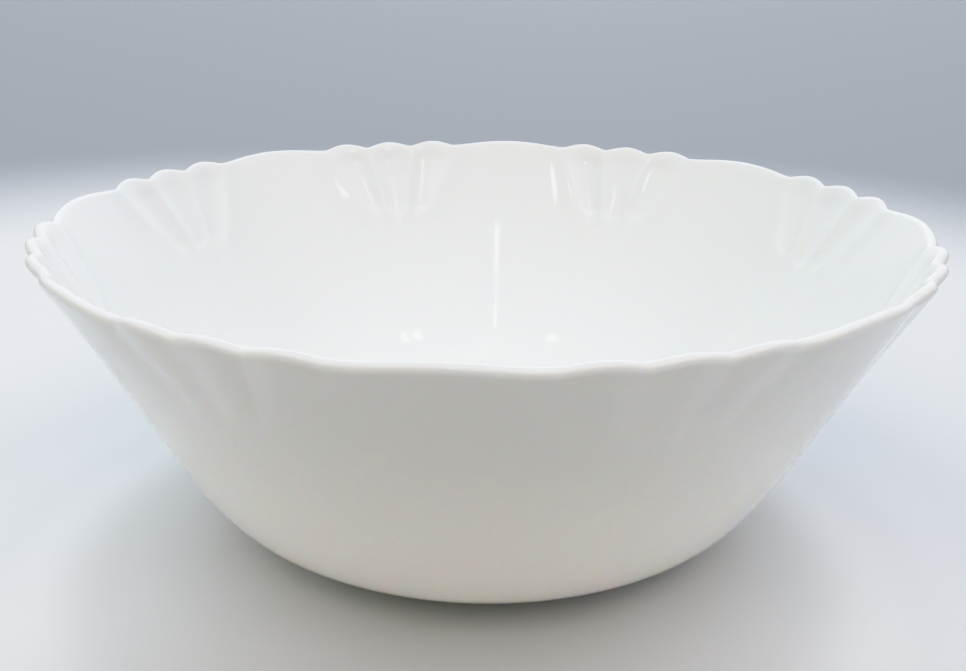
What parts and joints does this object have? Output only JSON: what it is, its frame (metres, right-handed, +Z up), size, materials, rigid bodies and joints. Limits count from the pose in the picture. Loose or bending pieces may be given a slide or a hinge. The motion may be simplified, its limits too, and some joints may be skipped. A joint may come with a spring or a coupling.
{
  "type": "serving bowl",
  "caption": "Deep round white serving bowl with a flared wall, a scalloped edge with pressed fan grooves, and a low foot ring.",
  "frame": {"origin": "centre of the foot ring's resting face, on the bowl's axis", "axes": "+Z up along the bowl's axis; +Y through the middle of a long lobe of the edge"},
  "size_m": [0.24, 0.24, 0.086],
  "materials": {
    "glazed_white": "gloss",
    "bare_foot": "matte"
  },
  "bodies": {
    "root": {"bowl_body": "glazed_white", "foot_ring": "bare_foot"}
  },
  "joints": []
}
